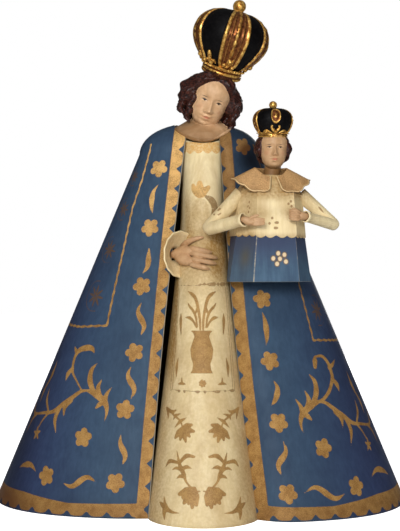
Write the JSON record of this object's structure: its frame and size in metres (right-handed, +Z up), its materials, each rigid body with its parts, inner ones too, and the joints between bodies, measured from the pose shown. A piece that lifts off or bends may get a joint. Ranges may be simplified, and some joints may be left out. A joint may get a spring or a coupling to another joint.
{
  "type": "madonna and child statue",
  "caption": "Standing crowned mother in a wide cone-shaped painted mantle, holding a crowned child in a stiff tunic, on a plain hem base.",
  "frame": {"origin": "on the floor, under the middle of the whole figure's box", "axes": "+Z up along the figure, -Y is the way the figure faces, +X is the viewer's right"},
  "size_m": [0.5285, 0.4328, 0.6474],
  "materials": {
    "blue_paint": "deep blue paint, satin, with gold stencilling and worn edges",
    "ivory_paint": "ivory paint with a brown antique wash and gold stencilling",
    "gold_paint": "matt bronze-gold paint, stippled",
    "flesh_paint": "cast resin painted in flesh tones, with dark brown hair",
    "crown_gilt": "burnished gilt arches and circlet over a black cap"
  },
  "bodies": {
    "root": {"mantle": "blue_paint", "gown": "ivory_paint", "mother_bust": "flesh_paint", "mother_crown": "crown_gilt", "mother_sleeve": "ivory_paint", "mother_hand": "flesh_paint", "child_skirt": "blue_paint", "child_tunic": "ivory_paint", "child_collar": "gold_paint", "child_sleeve_left": "ivory_paint", "child_sleeve_right": "ivory_paint", "child_hand_left": "flesh_paint", "child_hand_right": "flesh_paint", "child_head": "flesh_paint", "child_crown": "crown_gilt"}
  },
  "joints": []
}
